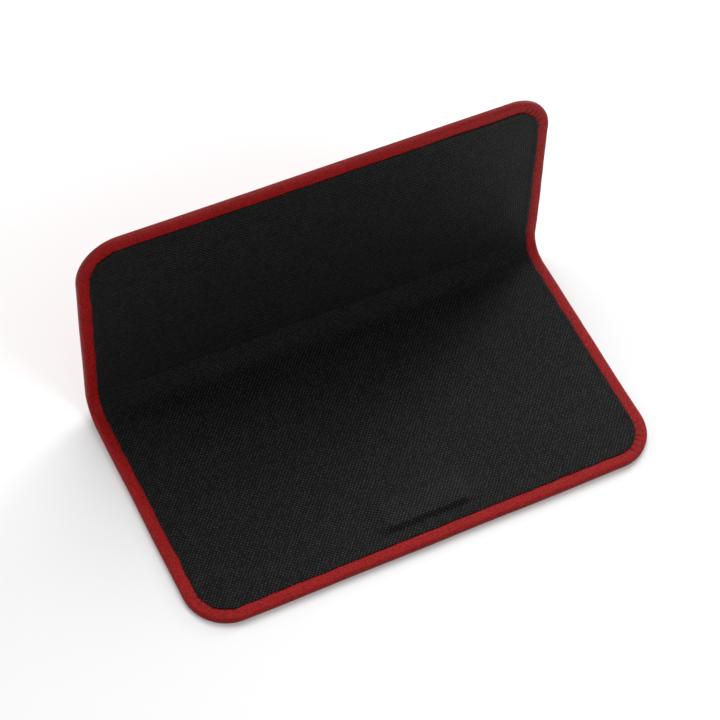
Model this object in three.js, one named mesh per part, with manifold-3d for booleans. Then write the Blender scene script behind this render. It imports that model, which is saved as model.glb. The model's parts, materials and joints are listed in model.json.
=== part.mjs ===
// Folding eyeglasses case: two stiff panels joined by a soft spine strip, covered outside in
// leatherette that turns in over the edges, lined inside with woven cloth, closed by a magnet and a keeper.
//
// The sheets are laid out flat along "run": the distance along the outer skin from the base's
// front edge, over the spine, to the lid's free edge. "rise" is the distance in from the outer skin.
// X runs along the folds, Y points back, Z points up. All sizes are in millimetres.
import * as THREE from "three";
import { mergeVertices } from "three/addons/utils/BufferGeometryUtils.js";
import Module from "manifold-3d";

const wasm = await Module();
wasm.setup();

// Layout of the flat case
const WIDTH = 160;
const PANEL_DEPTH = 61.5;
const SPINE_WIDTH = 30.5;
const FOLD_RUN = 14.5;
const CORNER_RADIUS = 14;
const BORDER_WIDTH = 3.9;

// How the case stands at rest: base and spine flat, lid leaning back from upright
const LID_LEAN = THREE.MathUtils.degToRad(80.2);

// Layers through a panel, from the outer skin inwards
const SKIN = 0.6;
const PANEL_THICKNESS = 2.4;
const EDGE_WALL = 0.8;
const LAYER_GAP = 0.1;
const BOARD_BOTTOM = SKIN + LAYER_GAP;
const BOARD_TOP = 1.7;
const PADDING_BOTTOM = BOARD_TOP + LAYER_GAP;
const PADDING_TOP = 2.0;
const LINING_BOTTOM = PADDING_TOP + LAYER_GAP;
const LINING_TOP = 2.45;
const TURN_IN_BOTTOM = PANEL_THICKNESS - SKIN;

// Clear space left around neighbours
const BOARD_CLEARANCE = 0.2;
const LINING_CLEARANCE = 0.15;
const MAGNET_CLEARANCE = 0.15;

// Closing magnet under the base lining and the steel keeper let into the lid board
const MAGNET_LENGTH = 24;
const MAGNET_WIDTH = 7;
const MAGNET_BOTTOM = 1.1;
const MAGNET_TOP = 2.8;
const MAGNET_FROM_EDGE = 13.5;
const MAGNET_POCKET_FLOOR = 1.0;
const MOUND_MARGIN = 0.5;
const MOUND_SLOPE = 0.9;
const KEEPER_LENGTH = 24;
const KEEPER_WIDTH = 8;
const KEEPER_BOTTOM = 0.95;
const KEEPER_TOP = 1.65;
const KEEPER_POCKET_FLOOR = 0.85;

// How far each layer stops short of a fold line, so that the case can close
const BASE_FOLD_SKIN_STOP = 0.15;
const BASE_FOLD_INNER_STOP = 0.7;
const LID_FOLD_STOP = 0.75;

// Smoothness of curves
const CORNER_SEGMENTS = 10;
const FOLD_SEGMENTS = 8;

// Overlap between joined bodies, and how far a cutting body runs past what it cuts
const JOIN_OVERLAP = 0.1;
const CUT_PAST = 1;

// Derived places along the run
const BASE_FOLD_LINE = PANEL_DEPTH + FOLD_RUN / 2;
const LID_PANEL_START = PANEL_DEPTH + SPINE_WIDTH;
const LID_FOLD_START = LID_PANEL_START - FOLD_RUN;
const LID_FOLD_LINE = LID_PANEL_START - FOLD_RUN / 2;
const FOLD_RADIUS = FOLD_RUN / LID_LEAN;
const BASE_FRONT_Y = -PANEL_DEPTH / 2;

// The place (y, z) of a point of the base or the spine, from its run and its rise.
function pointFromBase(run, rise) {
  const turn = Math.max(run - LID_FOLD_START, 0) / FOLD_RADIUS;
  const radius = FOLD_RADIUS - rise;
  const flat = BASE_FRONT_Y + Math.min(run, LID_FOLD_START);
  const z = turn > 0 ? FOLD_RADIUS - radius * Math.cos(turn) : rise;
  return new THREE.Vector2(flat + radius * Math.sin(turn), z);
}

// The same seen from the lid lying flat, with its fold end at zero and its free edge at PANEL_DEPTH.
function pointFromLid(run, rise) {
  const turn = Math.max(LID_PANEL_START - run, 0) / FOLD_RADIUS;
  const radius = FOLD_RADIUS - rise;
  const flat = Math.max(run - LID_PANEL_START, 0);
  const z = turn > 0 ? FOLD_RADIUS - radius * Math.cos(turn) : rise;
  return new THREE.Vector2(flat - radius * Math.sin(turn), z);
}

function runSteps(runFrom, runTo) {
  const steps = [runFrom];
  for (let i = 0; i <= FOLD_SEGMENTS; i += 1) {
    const run = LID_FOLD_START + (FOLD_RUN * i) / FOLD_SEGMENTS;
    if (run > runFrom + JOIN_OVERLAP / 2 && run < runTo - JOIN_OVERLAP / 2) {
      steps.push(run);
    }
  }
  steps.push(runTo);
  return steps;
}

function solidFrom(geometry) {
  const plain = geometry.clone();
  plain.deleteAttribute("normal");
  plain.deleteAttribute("uv");
  const merged = mergeVertices(plain, 1e-4);
  return new wasm.Manifold(
    new wasm.Mesh({
      numProp: 3,
      vertProperties: merged.attributes.position.array,
      triVerts: new Uint32Array(merged.index.array),
    }),
  );
}

function geometryFrom(solid) {
  const mesh = solid.getMesh();
  const geometry = new THREE.BufferGeometry();
  const positions = new Float32Array(mesh.vertProperties);
  geometry.setAttribute("position", new THREE.BufferAttribute(positions, 3));
  geometry.setIndex(new THREE.BufferAttribute(new Uint32Array(mesh.triVerts), 1));
  geometry.computeVertexNormals();
  return geometry;
}

// A strip of constant section between two places on the run, following the fold.
function strip(pointAt, [xFrom, xTo], [runFrom, runTo], [riseFrom, riseTo]) {
  const steps = runSteps(runFrom, runTo);
  const outer = steps.map((run) => pointAt(run, riseFrom));
  const inner = steps.map((run) => pointAt(run, riseTo)).reverse();
  const shape = new THREE.Shape([...outer, ...inner]);
  const geometry = new THREE.ExtrudeGeometry(shape, { depth: xTo - xFrom, bevelEnabled: false });
  const shapeToSpace = new THREE.Matrix4().makeBasis(
    new THREE.Vector3(0, 1, 0),
    new THREE.Vector3(0, 0, 1),
    new THREE.Vector3(1, 0, 0),
  );
  geometry.applyMatrix4(shapeToSpace);
  geometry.translate(xFrom, 0, 0);
  return solidFrom(geometry);
}

// A flat slab with the panel's outline, set in from its edges; run counts from the free edge.
function panelSlab(inset, runTo, riseFrom, riseTo) {
  const half = WIDTH / 2 - inset;
  const radius = CORNER_RADIUS - inset;
  const shape = new THREE.Shape();
  shape.moveTo(half, runTo);
  shape.lineTo(-half, runTo);
  shape.lineTo(-half, inset + radius);
  shape.absarc(-half + radius, inset + radius, radius, Math.PI, 1.5 * Math.PI, false);
  shape.lineTo(half - radius, inset);
  shape.absarc(half - radius, inset + radius, radius, 1.5 * Math.PI, 2 * Math.PI, false);
  shape.lineTo(half, runTo);
  const geometry = new THREE.ExtrudeGeometry(shape, {
    depth: riseTo - riseFrom,
    bevelEnabled: false,
    curveSegments: CORNER_SEGMENTS,
  });
  geometry.translate(0, 0, riseFrom);
  return solidFrom(geometry);
}

function block(length, width, riseFrom, riseTo) {
  const geometry = new THREE.BoxGeometry(length, width, riseTo - riseFrom);
  geometry.translate(0, MAGNET_FROM_EDGE, (riseFrom + riseTo) / 2);
  return solidFrom(geometry);
}

// The low mound that the lining makes over the magnet.
function liningMound(length, width, riseTo) {
  const foot = new THREE.Vector2(length / 2 + MOUND_SLOPE, width / 2 + MOUND_SLOPE);
  const corners = [];
  for (const [x, y] of [[-1, -1], [1, -1], [1, 1], [-1, 1]]) {
    corners.push(new THREE.Vector3(x * foot.x, y * foot.y, LINING_BOTTOM));
  }
  for (const [x, y] of [[-1, -1], [1, -1], [1, 1], [-1, 1]]) {
    corners.push(new THREE.Vector3((x * length) / 2, (y * width) / 2, riseTo));
  }
  const geometry = new THREE.BufferGeometry().setFromPoints(corners);
  const sides = [];
  for (let i = 0; i < 4; i += 1) {
    const next = (i + 1) % 4;
    sides.push(i, next, next + 4, i, next + 4, i + 4);
  }
  geometry.setIndex([0, 2, 1, 0, 3, 2, 4, 5, 6, 4, 6, 7, ...sides]);
  geometry.translate(0, MAGNET_FROM_EDGE, 0);
  return solidFrom(geometry);
}

// Both panels are made free edge first: these put one on the floor and turn one about for the lid.
function placeOnBase(solid) {
  return solid.translate([0, BASE_FRONT_Y, 0]);
}

function turnAbout(solid) {
  const geometry = geometryFrom(solid);
  geometry.rotateZ(Math.PI);
  geometry.translate(0, PANEL_DEPTH, 0);
  return solidFrom(geometry);
}

// Leans the finished lid piece back and sets it on the end of the fold.
function standUp(solid) {
  const geometry = geometryFrom(solid);
  geometry.rotateX(LID_LEAN);
  geometry.translate(
    0,
    BASE_FRONT_Y + LID_FOLD_START + FOLD_RADIUS * Math.sin(LID_LEAN),
    FOLD_RADIUS * (1 - Math.cos(LID_LEAN)),
  );
  return solidFrom(geometry);
}

function panelCover() {
  const pastFold = PANEL_DEPTH + CUT_PAST;
  const room = panelSlab(EDGE_WALL, pastFold, SKIN, TURN_IN_BOTTOM);
  const window = panelSlab(BORDER_WIDTH, pastFold, SKIN, PANEL_THICKNESS + CUT_PAST);
  return panelSlab(0, PANEL_DEPTH, 0, PANEL_THICKNESS).subtract(room).subtract(window);
}

// Skin, edge walls and turned-in borders of a stretch of cover. The skin may run on past the rest.
function coverStretch(pointAt, skinRun, innerRun) {
  const edge = WIDTH / 2;
  let cover = strip(pointAt, [-edge, edge], skinRun, [0, SKIN]);
  for (const side of [-1, 1]) {
    const wallX = [side * edge, side * (edge - EDGE_WALL)].sort((a, b) => a - b);
    const borderX = [side * edge, side * (edge - BORDER_WIDTH)].sort((a, b) => a - b);
    cover = cover.add(strip(pointAt, wallX, innerRun, [0, PANEL_THICKNESS]));
    cover = cover.add(strip(pointAt, borderX, innerRun, [TURN_IN_BOTTOM, PANEL_THICKNESS]));
  }
  return cover;
}

function liningStretch(pointAt, run) {
  const edge = WIDTH / 2 - BORDER_WIDTH - LINING_CLEARANCE;
  return strip(pointAt, [-edge, edge], run, [LINING_BOTTOM, LINING_TOP]);
}

function baseCover() {
  const runFrom = PANEL_DEPTH - JOIN_OVERLAP;
  const skinRun = [runFrom, BASE_FOLD_LINE - BASE_FOLD_SKIN_STOP];
  const innerRun = [runFrom, BASE_FOLD_LINE - BASE_FOLD_INNER_STOP];
  return placeOnBase(panelCover()).add(coverStretch(pointFromBase, skinRun, innerRun));
}

function baseBoard() {
  const inset = EDGE_WALL + BOARD_CLEARANCE;
  const slab = panelSlab(inset, PANEL_DEPTH, BOARD_BOTTOM, BOARD_TOP);
  return placeOnBase(slab.subtract(magnetRoom(MAGNET_POCKET_FLOOR)));
}

function magnetRoom(riseFrom) {
  const length = MAGNET_LENGTH + 2 * MAGNET_CLEARANCE;
  const width = MAGNET_WIDTH + 2 * MAGNET_CLEARANCE;
  return block(length, width, riseFrom, MAGNET_TOP + LAYER_GAP);
}

function basePadding() {
  const inset = BORDER_WIDTH + LINING_CLEARANCE;
  const slab = panelSlab(inset, PANEL_DEPTH, PADDING_BOTTOM, PADDING_TOP);
  return placeOnBase(slab.subtract(magnetRoom(MAGNET_BOTTOM)));
}

function baseLining() {
  const moundTop = MAGNET_TOP + LAYER_GAP + (LINING_TOP - LINING_BOTTOM);
  const inset = BORDER_WIDTH + LINING_CLEARANCE;
  const cloth = panelSlab(inset, PANEL_DEPTH, LINING_BOTTOM, LINING_TOP);
  const mound = liningMound(
    MAGNET_LENGTH + 2 * MOUND_MARGIN,
    MAGNET_WIDTH + 2 * MOUND_MARGIN,
    moundTop,
  );
  const panel = placeOnBase(cloth.add(mound).subtract(magnetRoom(MAGNET_BOTTOM)));
  const run = [PANEL_DEPTH - JOIN_OVERLAP, BASE_FOLD_LINE - BASE_FOLD_INNER_STOP];
  return panel.add(liningStretch(pointFromBase, run));
}

function baseMagnet() {
  return placeOnBase(block(MAGNET_LENGTH, MAGNET_WIDTH, MAGNET_BOTTOM, MAGNET_TOP));
}

function spineCover() {
  const skinRun = [BASE_FOLD_LINE + BASE_FOLD_SKIN_STOP, LID_FOLD_LINE - LID_FOLD_STOP];
  return coverStretch(pointFromBase, skinRun, spineInnerRun());
}

function spineInnerRun() {
  return [BASE_FOLD_LINE + BASE_FOLD_INNER_STOP, LID_FOLD_LINE - LID_FOLD_STOP];
}

function spinePadding() {
  const edge = WIDTH / 2 - EDGE_WALL - BOARD_CLEARANCE;
  return strip(pointFromBase, [-edge, edge], spineInnerRun(), [BOARD_BOTTOM, BOARD_TOP]);
}

function spineLining() {
  return liningStretch(pointFromBase, spineInnerRun());
}

function lidFootRun() {
  return [LID_FOLD_LINE + LID_FOLD_STOP, LID_PANEL_START + JOIN_OVERLAP];
}

function lidCover() {
  const foot = coverStretch(pointFromLid, lidFootRun(), lidFootRun());
  return standUp(turnAbout(panelCover()).add(foot));
}

function lidBoard() {
  const slab = panelSlab(EDGE_WALL + BOARD_CLEARANCE, PANEL_DEPTH, BOARD_BOTTOM, BOARD_TOP);
  const pocket = block(
    KEEPER_LENGTH + 2 * MAGNET_CLEARANCE,
    KEEPER_WIDTH + 2 * MAGNET_CLEARANCE,
    KEEPER_POCKET_FLOOR,
    PANEL_THICKNESS,
  );
  return standUp(turnAbout(slab.subtract(pocket)));
}

function lidPadding() {
  const inset = BORDER_WIDTH + LINING_CLEARANCE;
  return standUp(turnAbout(panelSlab(inset, PANEL_DEPTH, PADDING_BOTTOM, PADDING_TOP)));
}

function lidLining() {
  const cloth = panelSlab(BORDER_WIDTH + LINING_CLEARANCE, PANEL_DEPTH, LINING_BOTTOM, LINING_TOP);
  return standUp(turnAbout(cloth).add(liningStretch(pointFromLid, lidFootRun())));
}

function lidKeeper() {
  return standUp(turnAbout(block(KEEPER_LENGTH, KEEPER_WIDTH, KEEPER_BOTTOM, KEEPER_TOP)));
}

function leatherette() {
  return new THREE.MeshStandardMaterial({ color: 0x9c1518, roughness: 0.6 });
}

function wovenCloth() {
  return new THREE.MeshStandardMaterial({ color: 0x1c1c1e, roughness: 0.9 });
}

function greyboard() {
  return new THREE.MeshStandardMaterial({ color: 0x9a958c, roughness: 0.95 });
}

function foam() {
  return new THREE.MeshStandardMaterial({ color: 0x2b2b2b, roughness: 1 });
}

function bareMetal() {
  return new THREE.MeshStandardMaterial({ color: 0xb8bcc0, roughness: 0.35, metalness: 1 });
}

const PIECES = [
  ["base_cover", baseCover, leatherette],
  ["base_board", baseBoard, greyboard],
  ["base_padding", basePadding, foam],
  ["base_magnet", baseMagnet, bareMetal],
  ["base_lining", baseLining, wovenCloth],
  ["spine_cover", spineCover, leatherette],
  ["spine_padding", spinePadding, foam],
  ["spine_lining", spineLining, wovenCloth],
  ["lid_cover", lidCover, leatherette],
  ["lid_board", lidBoard, greyboard],
  ["lid_padding", lidPadding, foam],
  ["lid_keeper", lidKeeper, bareMetal],
  ["lid_lining", lidLining, wovenCloth],
];

const eyeglassesCase = new THREE.Group();
eyeglassesCase.name = "eyeglasses_case";
for (const [name, shape, material] of PIECES) {
  const mesh = new THREE.Mesh(geometryFrom(shape()), material());
  mesh.name = name;
  eyeglassesCase.add(mesh);
}

export default eyeglassesCase;
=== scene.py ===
# Folding eyeglasses case, standing open: a red leatherette cover turned in over its edges and a
# black woven lining, around the boards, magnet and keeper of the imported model.
#
# The cover and the lining are each two half sheets, one for the base and one for the lid, that
# meet in the middle of the soft spine strip. A half sheet is laid out flat first: x across it,
# "out" the distance from the panel's free edge, and "rise" the distance in from the outer skin.
# "run" is the same distance along the whole case, from the base's front edge over the spine to
# the lid's free edge. The flat layout is then bent to the shape the case has at rest.
# All lengths are in metres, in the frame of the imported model.
import json
import math

import bmesh
import bpy
import numpy as np
from mathutils import Matrix, Vector


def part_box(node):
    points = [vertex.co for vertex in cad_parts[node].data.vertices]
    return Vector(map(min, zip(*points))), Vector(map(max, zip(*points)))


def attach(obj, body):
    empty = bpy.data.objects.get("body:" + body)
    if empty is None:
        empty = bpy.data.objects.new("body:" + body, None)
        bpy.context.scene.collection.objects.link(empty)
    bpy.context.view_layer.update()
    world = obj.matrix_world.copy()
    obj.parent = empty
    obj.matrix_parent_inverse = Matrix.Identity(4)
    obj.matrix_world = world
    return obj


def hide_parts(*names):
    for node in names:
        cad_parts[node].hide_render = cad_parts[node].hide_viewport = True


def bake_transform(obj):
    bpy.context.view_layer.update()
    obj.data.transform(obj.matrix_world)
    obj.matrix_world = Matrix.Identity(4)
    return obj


MM = 0.001

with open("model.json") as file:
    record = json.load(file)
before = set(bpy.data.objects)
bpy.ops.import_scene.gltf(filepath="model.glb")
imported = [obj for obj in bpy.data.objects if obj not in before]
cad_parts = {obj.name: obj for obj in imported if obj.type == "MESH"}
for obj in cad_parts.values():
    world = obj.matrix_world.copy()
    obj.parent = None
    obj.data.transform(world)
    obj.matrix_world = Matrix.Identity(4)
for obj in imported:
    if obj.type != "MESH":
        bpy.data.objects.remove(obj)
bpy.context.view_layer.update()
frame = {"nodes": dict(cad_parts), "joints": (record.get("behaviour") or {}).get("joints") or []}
joints = {joint["name"]: joint for joint in frame["joints"]}

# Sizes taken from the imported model
BASE_AXIS = Vector(joints["base_fold"]["pos_m"])
LID_AXIS = Vector(joints["lid_fold"]["pos_m"])
LEAN = math.radians(-joints["lid_fold"]["range_deg"][0])
HALF_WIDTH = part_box("base_cover")[1].x
FRONT_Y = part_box("base_cover")[0].y
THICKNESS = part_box("base_cover")[1].z
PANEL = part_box("base_board")[1].y - FRONT_Y
MAGNET_LOW, MAGNET_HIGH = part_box("base_magnet")
FOLD = 2 * (BASE_AXIS.y - FRONT_Y - PANEL)
SPINE = LID_AXIS.y - BASE_AXIS.y + FOLD
LENGTH = 2 * PANEL + SPINE
HALF_LENGTH = LENGTH / 2
FOLD_START = PANEL + SPINE - FOLD
FOLD_RADIUS = FOLD / LEAN

# Layers, from the outer skin inwards
CORNER = 14 * MM
BORDER = 3.9 * MM
SKIN = 0.6 * MM
EDGE_WALL = 0.8 * MM
TURN_IN = 4.6 * MM
TURN_IN_BOTTOM = 1.75 * MM
TURN_IN_TOP = 2.15 * MM
LINING_BOTTOM = 2.1 * MM
LINING_CLOTH = 0.35 * MM
LINING_LIFT = 0.1 * MM
PADDING_BOTTOM = 1.8 * MM
PADDING_TOP = 2.0 * MM
PADDING_INSET = BORDER + 1.2 * MM
PADDING_EDGE = 0.3 * MM
PADDING_END_GAP = 0.4 * MM
SPINE_PAD_TOP = 1.3 * MM
LAYER_GAP = 0.1 * MM
LOW_RADIUS = 0.85 * MM
HIGH_RADIUS = 1.05 * MM
BOARD_BEVEL = 0.12 * MM

# The soft spine: how far its inside drops, the groove at each panel and the outer crease
SPINE_DROP = 0.16 * MM
SPINE_DROP_RUN = 5 * MM
GROOVE_OFFSET = 2.5 * MM
GROOVE_PANEL_SIDE = 3.4 * MM
GROOVE_SPINE_SIDE = 1.7 * MM
GROOVE_FADE = 34 * MM
GROOVE_END = 3 * MM
LID_GROOVE = 0.66 * MM
BASE_GROOVE = 0.04 * MM
CREASE = 0.22 * MM
CREASE_HALF = 1.5 * MM

# The mound of the lining over the magnet
MOUND_FRONT_SLOPE = 2.0 * MM
MOUND_END_SLOPE = 4.0 * MM
MOUND_MARGIN = 0.5 * MM
MOUND_LOFT = 0.3 * MM
MOUND_HEIGHT = MAGNET_HIGH.z + LAYER_GAP - LINING_BOTTOM + MOUND_LOFT

# Unevenness: waves in the cloth, pleats round the corners, and edges that wander a little
WAVES = 7
LINING_WAVE = 0.08 * MM
LINING_WAVE_LENGTH = 24 * MM
LINING_WAVE_START = 7 * MM
LINING_LIFT_FADE = 1.5 * MM
BORDER_WAVE = 0.05 * MM
BORDER_WAVE_LENGTH = 9 * MM
PADDING_WAVE = 0.3 * LAYER_GAP
PADDING_WAVE_LENGTH = 3 * MM
PLEAT_DEPTH = 0.26 * MM
PLEATS = 8
PLEAT_START = 1.2 * MM
PLEAT_START_WANDER = 0.8 * MM
PLEAT_FADE = 1.8 * MM
RIM_REACH = 1.3 * MM
OUTLINE_WANDER = 0.07 * MM
OUTLINE_WANDER_LENGTH = 34 * MM
OUTLINE_WANDER_REACH = 9 * MM
CUT_WANDER = 0.2 * MM
CUT_WANDER_LENGTH = 7 * MM
CUT_WANDER_REACH = 2.5 * BORDER

# The strip in the spine
STRIP_GAP = 0.8 * MM
STRIP_ROUND = 1.2 * MM
STRIP_WAVE = 0.04 * MM
STRIP_WAVE_LENGTH = 6 * MM

# Mesh steps
SPINE_STEP = 0.6 * MM
WIDE_STEP = 2.2 * MM
FINE_STEP = 0.45 * MM
FINE_HALF_WIDTH = 14 * MM
FINE_DEPTH = CORNER + 6 * MM
SPINE_DETAIL = PANEL - 3 * MM
COVER_CORNER_STEPS = 26
LINING_CORNER_STEPS = 22
ARC_STEPS = 6
SHARP_ANGLE = math.radians(38)

# The photo's camera: its angles in degrees, what it looks at and from how far
CAMERA_AZIMUTH = -36.37
CAMERA_ELEVATION = 56.87
CAMERA_ROLL = 11.31
CAMERA_TARGET = Vector((7.12 * MM, 37.77 * MM, 0))
CAMERA_DISTANCE = 765 * MM
CAMERA_LENS = 120

# The light: the white surroundings, and each lamp's place, aim, size and watts
SURROUNDINGS = 0.46
LAMPS = {
    "overhead": ((0.2, 0.75, 1.05), (0, 0.03, 0), 0.9, 8.5),
    "right_back": ((1.15, 0.75, 0.52), (0, 0, 0), 0.55, 7.8),
    "left_back": ((-1.15, 0.75, 0.52), (0, 0, 0), 0.55, 4.8),
    "front": ((0.65, -0.95, 0.8), (0, 0.03, 0.03), 0.7, 4.6),
}
FLOOR_HALF = 4.0
FLOOR_DROP = 0.05 * MM

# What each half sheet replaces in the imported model
COVERED = {"base": ("base_cover", "spine_cover"), "lid": ("lid_cover",)}
LINED = {"base": ("base_lining", "spine_lining"), "lid": ("lid_lining",)}


def smooth(value):
    share = np.clip(value, 0, 1)
    return share * share * (3 - 2 * share)


def ripple(a, b, length, seed):
    """A smooth random wave over the plane a, b, about -1 to 1, with bumps length apart."""
    random = np.random.default_rng(seed)
    total = np.zeros_like(a)
    for _ in range(WAVES):
        angle = random.uniform(0, 2 * math.pi)
        pace = 2 * math.pi * random.uniform(0.7, 1.4) / length
        start = random.uniform(0, 2 * math.pi)
        total += np.sin(pace * (a * math.cos(angle) + b * math.sin(angle)) + start)
    return total / math.sqrt(WAVES)


def steps(start, end, step):
    """Evenly spaced numbers from start to end, the end left out."""
    count = max(1, math.ceil(abs(end - start) / step))
    return np.linspace(start, end, count + 1)[:-1]


# ---------------------------------------------------------------- flat layout


def run_of(out, side):
    return out if side == "base" else LENGTH - out


def nearest_edge(x, out):
    """How far a place is in from the free edge or a side, and the direction inwards there."""
    past_x = np.abs(x) - (HALF_WIDTH - CORNER)
    past_out = CORNER - out
    in_corner = (past_x > 0) & (past_out > 0)
    radial = np.maximum(np.hypot(past_x, past_out), 1e-9)
    from_side = HALF_WIDTH - np.abs(x)
    by_side = from_side < out
    inset = np.where(in_corner, CORNER - radial, np.minimum(from_side, out))
    inward_x = np.where(in_corner, past_x / radial, by_side) * -np.sign(x)
    inward_out = np.where(in_corner, past_out / radial, ~by_side)
    return inset, inward_x, inward_out


def wander(x, out, side, amount, length, reach, seed):
    """Moves the outline in and out a little, fading within reach of it."""
    inset, inward_x, inward_out = nearest_edge(x, out)
    edge_x = x - inward_x * inset
    edge_run = run_of(out - inward_out * inset, side)
    shift = amount * ripple(edge_x, edge_run, length, seed) * smooth(1 - inset / reach)
    return x + inward_x * shift, out + inward_out * shift


def bend(x, run, rise):
    """Places of the case at rest, from places on the flat layout."""
    turn = np.clip((run - FOLD_START) / FOLD_RADIUS, 0, LEAN)
    beyond = np.maximum(run - FOLD_START - FOLD, 0)
    radius = FOLD_RADIUS - rise
    flat = FRONT_Y + np.minimum(run, FOLD_START)
    y = flat + radius * np.sin(turn) + beyond * math.cos(LEAN)
    z = FOLD_RADIUS - radius * np.cos(turn) + beyond * math.sin(LEAN)
    return np.stack([x, y, z], axis=-1)


def side_steps(reach, fine_to):
    """Distances from the free edge, from reach down to the corner."""
    zones = []
    if reach > SPINE_DETAIL:
        zones.append(steps(reach, SPINE_DETAIL, SPINE_STEP))
    zones.append(steps(min(reach, SPINE_DETAIL), fine_to, WIDE_STEP))
    if fine_to > CORNER:
        zones.append(steps(fine_to, CORNER, FINE_STEP))
    return np.concatenate(zones)


def stations(reach, corner_steps, fine):
    """Places on the outline and their inward directions, left end to right end.

    The count of stations down to the middle of a corner is given too. A fine outline has
    short steps where the mound is."""
    # Each station is x, out and the x and out of its inward direction
    straight = side_steps(reach, FINE_DEPTH if fine else CORNER)
    none, one = np.zeros(len(straight)), np.ones(len(straight))
    side = np.stack([-HALF_WIDTH * one, straight, one, none], -1)
    middle_x = HALF_WIDTH - CORNER
    turn = np.linspace(0, math.pi / 2, 2 * corner_steps + 1)
    into_x, into_out = np.cos(turn), np.sin(turn)
    arc_x, arc_out = -middle_x - CORNER * into_x, CORNER - CORNER * into_out
    corner = np.stack([arc_x, arc_out, into_x, into_out], -1)
    fine_x = FINE_HALF_WIDTH if fine else 0
    spans = [steps(-middle_x, -fine_x, WIDE_STEP)]
    if fine:
        spans.append(steps(-fine_x, 0, FINE_STEP))
    half = np.concatenate(spans)[1:]
    front_x = np.concatenate([half, [0.0], -half[::-1]])
    none, one = np.zeros(len(front_x)), np.ones(len(front_x))
    front = np.stack([front_x, none, none, one], -1)
    left = np.concatenate([side, corner])
    ring = np.concatenate([left, front, left[::-1] * (-1, 1, -1, 1)])
    return ring[:, :2], ring[:, 2:], len(straight) + corner_steps + 1


def patch(ring, side_count):
    """Places of a grid that fills a ring of stations: rows down the sides, front_count across."""
    front_count = len(ring) - 2 * side_count + 2
    left, right = ring[:side_count], ring[::-1][:side_count]
    front = ring[side_count - 1 : side_count - 1 + front_count]
    down = ((left[0, 1] - left[:, 1]) / (left[0, 1] - left[-1, 1]))[:, None, None]
    across = ((front[:, 0] - front[0, 0]) / (front[-1, 0] - front[0, 0]))[None, :, None]
    between_sides = (1 - across) * left[:, None] + across * right[:, None]
    between_corners = (1 - across) * left[-1] + across * right[-1]
    return between_sides + down * (front[None] - between_corners), front_count


def quads(index):
    """The faces of a grid, from the numbers of its points."""
    corners = (index[:-1, :-1], index[:-1, 1:], index[1:, 1:], index[1:, :-1])
    return [tuple(face) for face in np.stack(corners, -1).reshape(-1, 4)]


def grid(ring, start, side_count, next_point):
    """The numbers of a grid's points, and the places of those that aren't on its ring."""
    places, front_count = patch(ring, side_count)
    index = np.zeros((side_count, front_count), int)
    index[:, 0] = start + np.arange(side_count)
    index[:, -1] = start + len(ring) - 1 - np.arange(side_count)
    index[-1, :] = start + side_count - 1 + np.arange(front_count)
    free = places[:-1, 1:-1].reshape(-1, 3)
    index[:-1, 1:-1] = next_point + np.arange(len(free)).reshape(side_count - 1, -1)
    return index, free


def closed_sheet(profile, reach, corner_steps, fine=False):
    """A closed body on the flat layout: a bottom grid, an edge swept round it and a top grid.

    profile lists (inset, rise) from the bottom grid round the edge to the top grid."""
    place, inward, side_count = stations(reach, corner_steps, fine)
    count, turns = len(place), len(profile)
    rings = [
        np.column_stack([place + inward * inset, np.full(count, rise)]) for inset, rise in profile
    ]
    edge = np.arange(turns * count).reshape(turns, count)
    last = edge[-1, 0]
    bottom, bottom_free = grid(rings[0], 0, side_count, edge.size)
    top, top_free = grid(rings[-1], last, side_count, edge.size + len(bottom_free))
    # The cap closes the end where the two half sheets meet, or where a padding ends
    cap = [*edge[:, 0], *top[0, 1:-1], *edge[::-1, -1], *bottom[0, 1:-1][::-1]]
    faces = [*quads(edge), *quads(bottom), *quads(top), tuple(cap)]
    return np.concatenate([*rings, bottom_free, top_free]), faces


# ---------------------------------------------------------------- relief


def groove_fade(x):
    return smooth((HALF_WIDTH - GROOVE_END - np.abs(x)) / GROOVE_FADE)


def groove_share(x, out):
    """The groove past the board's end, slow to fall on the panel's side, fading to the sides."""
    past = out - PANEL - GROOVE_OFFSET
    reach = np.where(past < 0, GROOVE_PANEL_SIDE, GROOVE_SPINE_SIDE)
    return smooth(1 - np.abs(past) / reach) * groove_fade(x)


def groove(x, out, side):
    """How far the inner surfaces drop past the board's end, where nothing stiff backs them."""
    depth = LID_GROOVE if side == "lid" else BASE_GROOVE
    drop = SPINE_DROP * groove_fade(x) * smooth((out - PANEL) / SPINE_DROP_RUN)
    return depth * groove_share(x, out) + drop


def sink(x, rise, out, side):
    """The rise left after the drop, which grows from the outer skin inwards."""
    return rise - groove(x, out, side) * rise / THICKNESS


def outer_crease(rise, out):
    """The shallow crease that the outer skin shows along the board's end."""
    at_line = smooth(1 - np.abs(out - PANEL - CREASE_HALF / 2) / CREASE_HALF)
    return CREASE * at_line * smooth(1 - rise / (1.5 * SKIN))


def pleats(x, out):
    """How deep the turned-in cover is gathered round the corners, from 0 to 1."""
    inset, inward_x, inward_out = nearest_edge(x, out)
    angle = np.arctan2(np.abs(inward_out), np.abs(inward_x)) / (math.pi / 2)
    in_corner = smooth(8 * np.minimum(angle, 1 - angle))
    corner = np.sign(x) * (2 + np.sign(PANEL / 2 - out))
    uneven = angle + 0.03 * ripple(3 * angle, corner, 1.0, seed=31)
    fold = np.abs(np.sin(math.pi * PLEATS * uneven)) ** 0.6
    start = PLEAT_START + PLEAT_START_WANDER * ripple(8 * angle, corner, 1.0, seed=32)
    return in_corner * (1 - fold) * smooth((inset - start) / PLEAT_FADE)


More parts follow.
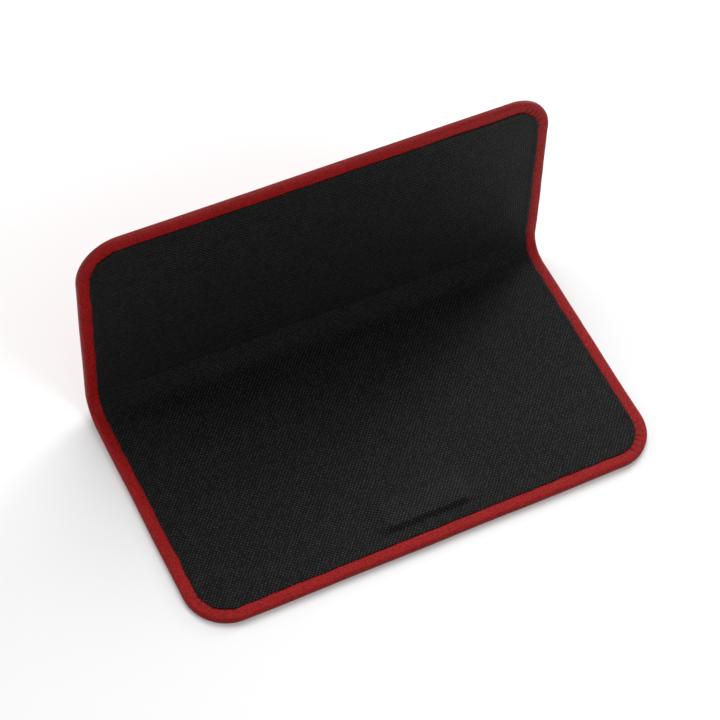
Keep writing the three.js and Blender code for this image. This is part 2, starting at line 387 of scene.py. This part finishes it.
def mound(x, out):
    """How high the lining stands over the magnet, as a share, and how steeply it rises to it."""
    middle = (MAGNET_LOW.y + MAGNET_HIGH.y) / 2 - FRONT_Y
    half_x = MAGNET_HIGH.x + MOUND_MARGIN + MOUND_END_SLOPE
    half_out = (MAGNET_HIGH.y - MAGNET_LOW.y) / 2 + MOUND_MARGIN + MOUND_FRONT_SLOPE
    along = smooth((half_x - np.abs(x)) / MOUND_END_SLOPE)
    ramp = np.clip((half_out - np.abs(out - middle)) / MOUND_FRONT_SLOPE, 0, 1)
    deep = 0.7 * ramp + 0.3 * smooth(ramp)
    return along * deep, along * smooth(4 * ramp * (1 - ramp))


def inner_share(rise):
    """0 on the outer skin, 1 on the turned-in border."""
    return smooth((rise - SKIN) / (0.6 * THICKNESS))


def cover_relief(points, side):
    x, out, rise = points.T
    outline = (OUTLINE_WANDER, OUTLINE_WANDER_LENGTH, OUTLINE_WANDER_REACH)
    x, out = wander(x, out, side, *outline, seed=11)
    run = run_of(out, side)
    inner = inner_share(rise)
    puff = BORDER_WAVE * ripple(x, run, BORDER_WAVE_LENGTH, seed=12)
    rise = rise + inner * (puff - PLEAT_DEPTH * pleats(x, out)) + outer_crease(rise, out)
    return x, run, sink(x, rise, out, side)


def lining_relief(points, side):
    x, out, rise = points.T
    x, out = wander(x, out, side, CUT_WANDER, CUT_WANDER_LENGTH, CUT_WANDER_REACH, seed=21)
    run = run_of(out, side)
    inset = nearest_edge(x, out)[0]
    over_turn_in = LINING_LIFT * smooth(1 - (inset - TURN_IN) / LINING_LIFT_FADE)
    free = smooth((inset - BORDER) / LINING_WAVE_START)
    wave = LINING_WAVE * free * ripple(x, run, LINING_WAVE_LENGTH, seed=22)
    rise = rise + over_turn_in + wave
    if side == "base":
        rise = rise + MOUND_HEIGHT * mound(x, out)[0]
    return x, run, sink(x, rise, out, side)


def plain_relief(points, side):
    x, out, rise = points.T
    run = run_of(out, side)
    return x, run, rise + PADDING_WAVE * ripple(x, run, PADDING_WAVE_LENGTH, seed=41)


# ---------------------------------------------------------------- bodies


def arc(middle, radius, start, end):
    """Profile places round part of a circle, at angles in degrees."""
    angles = np.radians(np.linspace(start, end, ARC_STEPS + 1))
    return [(middle[0] + radius * math.cos(a), middle[1] + radius * math.sin(a)) for a in angles]


def cover_profile():
    """Skin, rounded edge and the turned-in border, round to the inside of the skin."""
    outside = [(3.4 * MM, 0.0), (1.7 * MM, 0.0)]
    low = arc((LOW_RADIUS, LOW_RADIUS), LOW_RADIUS, -90, -180)
    high = arc((HIGH_RADIUS, THICKNESS - HIGH_RADIUS), HIGH_RADIUS, 180, 90)
    border = [
        (1.8 * MM, THICKNESS),
        (2.8 * MM, THICKNESS - 0.02 * MM),
        (3.4 * MM, THICKNESS - 0.09 * MM),
        (BORDER, TURN_IN_TOP + 0.03 * MM),
        (TURN_IN, TURN_IN_TOP),
        (TURN_IN, TURN_IN_BOTTOM),
        (EDGE_WALL, TURN_IN_BOTTOM),
        (EDGE_WALL, SKIN),
        (TURN_IN, SKIN),
    ]
    return outside + low + high + border


def lining_profile():
    """The lining's cut edge, from its underside up to its face."""
    top = LINING_BOTTOM + LINING_CLOTH
    return [
        (BORDER + 0.5 * MM, LINING_BOTTOM),
        (BORDER, LINING_BOTTOM),
        (BORDER - 0.03 * MM, top - 0.16 * MM),
        (BORDER + 0.1 * MM, top - 0.05 * MM),
        (BORDER + 0.3 * MM, top - 0.01 * MM),
        (BORDER + 0.8 * MM, top),
    ]


def padding_profile():
    flat_from = PADDING_INSET + PADDING_EDGE
    middle = (PADDING_BOTTOM + PADDING_TOP) / 2
    return [(flat_from, PADDING_BOTTOM), (PADDING_INSET, middle), (flat_from, PADDING_TOP)]


def body_from(name, places, layout, faces, material, marks):
    """A piece of the given places and faces; marks are further values kept at its points."""
    mesh = bpy.data.meshes.new(name)
    mesh.from_pydata([tuple(p) for p in places], [], faces)
    piece = bpy.data.objects.new(name, mesh)
    bpy.context.scene.collection.objects.link(piece)
    keep_marks(mesh, layout, marks)
    shade_smooth(mesh)
    mesh.materials.append(material)
    return piece


def keep_marks(mesh, layout, marks):
    """Keeps each point's place on the flat layout, and its marks, for the materials."""
    laid = mesh.attributes.new("layout", "FLOAT_VECTOR", "POINT")
    laid.data.foreach_set("vector", layout.astype(np.float32).ravel())
    for mark, values in marks.items():
        kept = mesh.attributes.new(mark, "FLOAT", "POINT")
        kept.data.foreach_set("value", values.astype(np.float32))


def shade_smooth(mesh):
    """Turns all faces outwards and shades them smooth, except over sharp edges."""
    work = bmesh.new()
    work.from_mesh(mesh)
    bmesh.ops.recalc_face_normals(work, faces=work.faces)
    for face in work.faces:
        face.smooth = True
    for edge in work.edges:
        edge.smooth = edge.calc_face_angle(math.pi) < SHARP_ANGLE
    work.to_mesh(mesh)
    work.free()


def cover_marks(x, out, rise, _side):
    """Where the cover wraps its outer edge, and how deep its turned-in part is gathered, for painted
    shade in the pleats.
    """
    rim = smooth(1 - nearest_edge(x, out)[0] / RIM_REACH)
    return {"rim": rim, "crease": inner_share(rise) * pleats(x, out)}


def lining_marks(x, out, _rise, side):
    """Where the lining lies over the magnet, for painted light on its top, and where it bends beside
    the magnet or into the groove, for painted shade.
    """
    if side == "lid":
        return {"over_magnet": 0 * x, "bent": 0.7 * groove_share(x, out)}
    over, steep = mound(x, out)
    return {"over_magnet": over, "bent": steep}


def half_sheet(name, side, sheet, relief, material, marks=None):
    """One half of a layer, in relief and bent to its shape at rest."""
    points, faces = sheet
    x, run, rise = relief(points, side)
    layout = np.stack([x, run, rise], axis=-1)
    kept = marks(*points.T, side) if marks else {}
    return body_from(name, bend(x, run, rise), layout, faces, material, kept)


def spine_pad(material):
    """The soft strip that fills the spine between the skin and the lining."""
    reach = HALF_WIDTH - TURN_IN
    start, end = BASE_AXIS.y - FRONT_Y + STRIP_GAP, LENGTH - PANEL - FOLD / 2 - STRIP_GAP
    x, run = np.meshgrid(np.linspace(-reach, reach, 61), np.linspace(start, end, 25))
    lower = np.arange(x.size).reshape(x.shape)
    x, run = x.ravel(), run.ravel()
    from_edge = np.minimum(np.minimum(run - start, end - run), reach - np.abs(x))
    full = smooth(from_edge / STRIP_ROUND) ** 0.5
    middle = (SKIN + LAYER_GAP + SPINE_PAD_TOP) / 2
    half = (SPINE_PAD_TOP - SKIN - LAYER_GAP) / 2 * (0.35 + 0.65 * full)
    half = half + STRIP_WAVE * full * ripple(x, run, STRIP_WAVE_LENGTH, seed=51)
    upper = lower + lower.size
    around = np.concatenate([lower[0], lower[1:, -1], lower[-1, -2::-1], lower[-2::-1, 0]])
    wall = np.stack([around, around + lower.size])
    faces = [*quads(lower), *quads(upper[::-1]), *quads(wall[::-1])]
    layout = np.concatenate(
        [np.stack([x, run, middle - half], -1), np.stack([x, run, middle + half], -1)]
    )
    return body_from("spine_pad", bend(*layout.T), layout, faces, material, {})


# ---------------------------------------------------------------- materials


class Nodes:
    """A material's node tree, with short calls that add a node and join its inputs.

    Places are in millimetres, so the scale of a noise is per millimetre."""

    def __init__(self, name):
        self.material = bpy.data.materials.new(name)
        self.material.use_nodes = True
        self.tree = self.material.node_tree
        self.shader = self.tree.nodes["Principled BSDF"]

    def join(self, value, socket):
        if isinstance(value, bpy.types.NodeSocket):
            self.tree.links.new(value, socket)
        else:
            socket.default_value = value

    def add(self, kind, inputs, output=0, **settings):
        node = self.tree.nodes.new("ShaderNode" + kind)
        for key, value in settings.items():
            setattr(node, key, value)
        for key, value in inputs.items():
            self.join(value, node.inputs[key])
        return node.outputs[output]

    def math(self, operation, *values):
        return self.add("Math", dict(enumerate(values)), operation=operation)

    def product(self, first, *others):
        for other in others:
            first = self.math("MULTIPLY", first, other)
        return first

    def mix(self, share, low, high):
        """Between two numbers, by a share from 0 to 1."""
        return self.add("MapRange", {"Value": share, "To Min": low, "To Max": high})

    def colour(self, share, low, high):
        """Between two colours, the first of them given or made by a node."""
        start = low if isinstance(low, bpy.types.NodeSocket) else (*low, 1)
        inputs = {"Factor": share, "A": start, "B": (*high, 1)}
        return self.add("Mix", inputs, "Result", data_type="RGBA")

    def ramp(self, value, start, end):
        """0 where value is at start, 1 where it is at end, and between them in between."""
        return self.add("MapRange", {"Value": value, "From Min": start, "From Max": end})

    def scaled(self, vector, factor):
        return self.add("VectorMath", {0: vector, "Scale": factor}, operation="SCALE")

    def shifted(self, place, scale, detail, distance):
        """The place moved about by noise, so that a pattern on it isn't ruled."""
        inputs = {"Vector": place, "Scale": scale, "Detail": detail}
        shift = self.scaled(self.add("TexNoise", inputs, "Color"), distance)
        return self.add("VectorMath", {0: place, 1: shift}, operation="ADD")

    def mark(self, name):
        """A value kept at the piece's points."""
        return self.add("Attribute", {}, "Fac", attribute_name=name)

    def noise(self, place, scale, detail=2.0, roughness=0.5):
        inputs = {"Vector": place, "Scale": scale, "Detail": detail, "Roughness": roughness}
        return self.add("TexNoise", inputs, "Fac")

    def place(self):
        """Places on the flat layout, in millimetres."""
        here = self.add("Attribute", {}, "Vector", attribute_name="layout")
        return self.scaled(here, 1 / MM)

    def where_made(self):
        """Places of a CAD node, in millimetres."""
        return self.scaled(self.add("TexCoord", {}, "Object"), 1 / MM)

    def bump(self, height, distance):
        return self.add("Bump", {"Height": height, "Distance": distance, "Strength": 1.0})

    def finish(self, **values):
        for key, value in values.items():
            self.join(value, self.shader.inputs[key.replace("_", " ")])
        return self.material


def leatherette():
    """Red coated cloth with a fine pebbled grain, worn on the rim, with painted shade on the side of
    its rounded edge and in the pleats.
    """
    hollow_red, pebble_red = (0.2, 0.001, 0.0012), (0.4, 0.002, 0.0023)
    speck_red, worn_red = (0.13, 0.0008, 0.001), (0.42, 0.012, 0.012)
    n = Nodes("leatherette")
    place = n.place()
    cells = {"Vector": n.shifted(place, 1.3, 1.0, 0.55), "Scale": 1.6}
    cell = n.add("TexVoronoi", cells, "Distance", feature="DISTANCE_TO_EDGE")
    pebble = n.add("MapRange", {"Value": cell, "From Max": 0.28}, interpolation_type="SMOOTHSTEP")
    fine = n.noise(place, 5.0, 3.0, 0.6)
    speck = n.ramp(n.noise(place, 0.9), 0.54, 0.66)
    grain = n.colour(pebble, hollow_red, pebble_red)
    grain = n.colour(n.product(speck, 0.55), grain, speck_red)
    rim = n.mark("rim")
    rise = n.add("SeparateXYZ", {0: place}, 2)
    # Painted shade: less light falls on the side of the rounded edge below its top, so the colour
    # there is darkened, down to 0.6.
    painted_side_shade = n.product(rim, n.ramp(rise, THICKNESS / MM + 0.02, 1.7))
    # The tone is a random real tone multiplied by the painted shade of the edge's side and of the
    # pleats.
    tone = n.product(
        n.mix(n.noise(place, 0.06), 0.86, 1.12),
        n.mix(painted_side_shade, 1.0, 0.6),
        # Painted shade in the grooves of the pleats, down to 0.55.
        n.mix(n.mark("crease"), 1.0, 0.55),
    )
    toned_and_shaded = n.scaled(grain, tone)
    rub = n.product(rim, n.ramp(fine, 0.45, 0.75))
    worn = n.colour(n.product(rub, 0.3), toned_and_shaded, worn_red)
    rough = n.math("SUBTRACT", n.mix(pebble, 0.6, 0.42), n.product(rim, 0.06))
    uneven = n.product(n.math("SUBTRACT", fine, 0.5), 0.2)
    height = n.math("ADD", pebble, n.product(fine, 0.35))
    return n.finish(
        Base_Color=worn,
        Roughness=n.math("ADD", rough, uneven),
        Normal=n.bump(height, 0.07 * MM),
        Specular_IOR_Level=0.17,
    )


def woven():
    """Black cloth in plain weave: warp and weft pass over and under by turns.

    The warp is a little askew. Widths are in millimetres."""
    warp_width, weft_width, askew = 0.64, 0.6, 0.126
    # The gaps between the yarns are near black as painted shade; yarn_black is the colour of a
    # yarn's crown in full light.
    gap_shade_black, yarn_black = (0.0006, 0.0006, 0.0007), (0.029, 0.029, 0.0298)
    n = Nodes("woven_lining")
    place = n.place()
    parts = n.add("SeparateXYZ", {0: n.shifted(place, 0.45, 3.0, 0.8)}, 0).node.outputs
    leaned = n.math("MULTIPLY_ADD", parts[1], askew, parts[0])
    across = n.math("DIVIDE", leaned, warp_width)
    along = n.math("DIVIDE", parts[1], weft_width)
    warp_share, weft_share = n.math("FRACT", across), n.math("FRACT", along)
    crossing = n.math("ADD", n.math("FLOOR", across), n.math("FLOOR", along))
    warp_up = n.math("LESS_THAN", n.math("FLOORED_MODULO", crossing, 2.0), 0.5)
    warp = float_height(n, warp_share, weft_share)
    weft = float_height(n, weft_share, warp_share)
    height = n.mix(warp_up, n.product(weft, 0.55), warp)
    fuzz = n.noise(place, 6.0, 3.0, 0.65)
    number = n.add("CombineXYZ", {0: n.math("FLOOR", across), 1: n.math("FLOOR", along)})
    own_tone = n.add("TexWhiteNoise", {"Vector": number}, "Value")
    # Painted light and shade: yarn crowns are lighter than their sinking ends and the gaps, and warp
    # floats are brighter than weft floats as painted sheen. The noises and each yarn's own tone are
    # real random tone.
    tone_and_painted_light = n.product(
        height,
        n.mix(warp_up, 0.1, 1.0),
        n.mix(n.noise(place, 0.6), 0.5, 1.5),
        n.mix(own_tone, 0.5, 1.5),
        n.mix(n.noise(place, 0.045), 0.85, 1.15),
        # Painted light: the lining's top over the magnet, which faces the light more, is made up to
        # 1.5 times lighter.
        n.mix(n.mark("over_magnet"), 1.0, 1.5),
        # Painted shade: darker on the steep slopes of the mound and along the lid's groove, down to
        # 0.45.
        n.mix(n.mark("bent"), 1.0, 0.45),
    )
    full = n.math("ADD", height, n.product(fuzz, 0.2))
    return n.finish(
        Base_Color=n.colour(tone_and_painted_light, gap_shade_black, yarn_black),
        Roughness=n.mix(fuzz, 0.36, 0.55),
        Normal=n.bump(full, 0.15 * MM),
        Specular_IOR_Level=0.08,
        Sheen_Weight=0.03,
        Sheen_Roughness=0.4,
    )


def float_height(n, across_share, along_share):
    """A yarn's height where it lies on top: round across the yarn, sinking at both ends."""
    across = n.math("SINE", n.product(across_share, math.pi))
    along = n.math("SINE", n.product(along_share, math.pi))
    across = n.math("POWER", n.math("MAXIMUM", across, 0.0), 0.7)
    along = n.math("POWER", n.math("MAXIMUM", along, 0.0), 0.5)
    return n.product(across, along)


def greyboard():
    """Pressed board: pale grey with fibres and darker flecks."""
    n = Nodes("greyboard")
    place = n.where_made()
    stretched = n.add("Mapping", {"Vector": place, "Scale": (0.5, 3.0, 3.0)})
    fibre = n.noise(stretched, 1.2, 5.0, 0.65)
    fleck = n.ramp(n.noise(place, 2.2), 0.62, 0.7)
    tone = n.colour(fibre, (0.25, 0.23, 0.2), (0.47, 0.44, 0.39))
    base = n.colour(n.product(fleck, 0.5), tone, (0.12, 0.11, 0.1))
    return n.finish(
        Base_Color=base, Roughness=n.mix(fibre, 0.8, 0.98), Normal=n.bump(fibre, 0.05 * MM)
    )


def foam():
    """Dark open-cell foam."""
    n = Nodes("foam")
    place = n.place()
    cell = n.add("TexVoronoi", {"Vector": place, "Scale": 2.4}, "Distance")
    dust = n.noise(place, 6.0, 3.0)
    base = n.colour(cell, (0.035, 0.035, 0.036), (0.012, 0.012, 0.012))
    height = n.math("SUBTRACT", n.product(dust, 0.3), cell)
    return n.finish(
        Base_Color=base, Roughness=n.mix(dust, 0.85, 1.0), Normal=n.bump(height, 0.12 * MM)
    )


def bare_metal(name, base, scratch):
    """Nickel-plated metal with a fine drawn finish along X and a few stains."""
    n = Nodes(name)
    place = n.where_made()
    drawn = n.add("Mapping", {"Vector": place, "Scale": (0.15, 6.0, 6.0)})
    line = n.noise(drawn, 2.0, 4.0, 0.6)
    stain = n.noise(place, 0.25, 3.0)
    tone = n.colour(stain, tuple(0.8 * c for c in base), base)
    return n.finish(
        Base_Color=tone,
        Metallic=1.0,
        Roughness=n.mix(line, 0.22, 0.42),
        Normal=n.bump(line, scratch),
    )


def floor_white():
    n = Nodes("floor")
    place = n.add("TexCoord", {}, "Object")
    faint = n.noise(place, 3.0, 2.0)
    return n.finish(Base_Color=n.colour(faint, (0.915,) * 3, (0.925,) * 3), Roughness=0.9)


# ---------------------------------------------------------------- camera, light, floor


def camera():
    """Above and to the left of the open side, turned so that the case leans in the picture."""
    azimuth, elevation = math.radians(CAMERA_AZIMUTH), math.radians(CAMERA_ELEVATION)
    roll = math.radians(CAMERA_ROLL)
    back = Vector(
        (
            math.sin(azimuth) * math.cos(elevation),
            -math.cos(azimuth) * math.cos(elevation),
            math.sin(elevation),
        )
    )
    level = Vector((0, 0, 1)).cross(back).normalized()
    upright = back.cross(level)
    right = level * math.cos(roll) + upright * math.sin(roll)
    up = upright * math.cos(roll) - level * math.sin(roll)
    data = bpy.data.cameras.new("camera")
    data.sensor_width = 36
    data.lens = CAMERA_LENS
    data.clip_start, data.clip_end = 0.01, 20
    made = bpy.data.objects.new("camera", data)
    turned = Matrix((right, up, back)).transposed().to_4x4()
    made.matrix_world = Matrix.Translation(CAMERA_TARGET + back * CAMERA_DISTANCE) @ turned
    bpy.context.scene.collection.objects.link(made)
    bpy.context.scene.camera = made


def lamp(name, place, aim, size, watts):
    data = bpy.data.lights.new(name, "AREA")
    data.shape = "DISK"
    data.size, data.energy = size, watts
    made = bpy.data.objects.new(name, data)
    made.location = place
    direction = Vector(aim) - Vector(place)
    made.rotation_euler = direction.to_track_quat("-Z", "Y").to_euler()
    bpy.context.scene.collection.objects.link(made)


def studio():
    world = bpy.data.worlds.new("studio")
    world.use_nodes = True
    background = world.node_tree.nodes["Background"]
    background.inputs["Color"].default_value = (1, 1, 1, 1)
    background.inputs["Strength"].default_value = SURROUNDINGS
    bpy.context.scene.world = world
    bpy.context.scene.view_settings.view_transform = "Standard"
    for name, settings in LAMPS.items():
        lamp(name, *settings)


def floor():
    size = FLOOR_HALF
    mesh = bpy.data.meshes.new("floor")
    corners = [(-size, -size, 0), (size, -size, 0), (size, size, 0), (-size, size, 0)]
    mesh.from_pydata(corners, [], [(0, 1, 2, 3)])
    made = bpy.data.objects.new("floor", mesh)
    made.location.z = -FLOOR_DROP
    bpy.context.scene.collection.objects.link(made)
    mesh.materials.append(floor_white())


# ---------------------------------------------------------------- the case


def bend_at_fold(piece, side):
    """Bakes a half sheet's transform into its mesh, alike for the base and the lid."""
    if side == "base":
        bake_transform(piece)
        return
    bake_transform(piece)


def make_covers(material):
    """Each cover is cut wider than its panel, by the cloth that is turned in over the edge."""
    sheet = closed_sheet(cover_profile(), HALF_LENGTH, COVER_CORNER_STEPS)
    for side, nodes in COVERED.items():
        piece = half_sheet("cover_" + side, side, sheet, cover_relief, material, cover_marks)
        bend_at_fold(piece, side)
        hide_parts(*nodes)


def make_linings():
    """Each lining is cut to butt on the border."""
    cloth = woven()
    for side, nodes in LINED.items():
        sheet = closed_sheet(lining_profile(), HALF_LENGTH, LINING_CORNER_STEPS, side == "base")
        piece = half_sheet("lining_" + side, side, sheet, lining_relief, cloth, lining_marks)
        bend_at_fold(piece, side)
        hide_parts(*nodes)


def make_pads(material):
    for side in ("base", "lid"):
        reach = PANEL - PADDING_END_GAP
        sheet = closed_sheet(padding_profile(), reach, LINING_CORNER_STEPS // 2)
        piece = half_sheet("pad_" + side, side, sheet, plain_relief, material)
        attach(piece, side)
        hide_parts(side + "_padding")
    strip = spine_pad(material)
    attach(strip, "spine")
    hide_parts("spine_padding")


def dress_cad_nodes():
    finishes = {
        "base_board": greyboard(),
        "lid_board": greyboard(),
        "base_magnet": bare_metal("magnet_plating", (0.62, 0.61, 0.58), 0.004 * MM),
        "lid_keeper": bare_metal("keeper_steel", (0.5, 0.51, 0.53), 0.01 * MM),
    }
    for name, finish in finishes.items():
        node = frame["nodes"][name]
        node.data.materials.clear()
        node.data.materials.append(finish)
        softened = node.modifiers.new("edges", "BEVEL")
        softened.width = BOARD_BEVEL
        softened.segments = 2
        softened.limit_method = "ANGLE"


camera()
studio()
floor()
make_covers(leatherette())
make_linings()
make_pads(foam())
dress_cad_nodes()
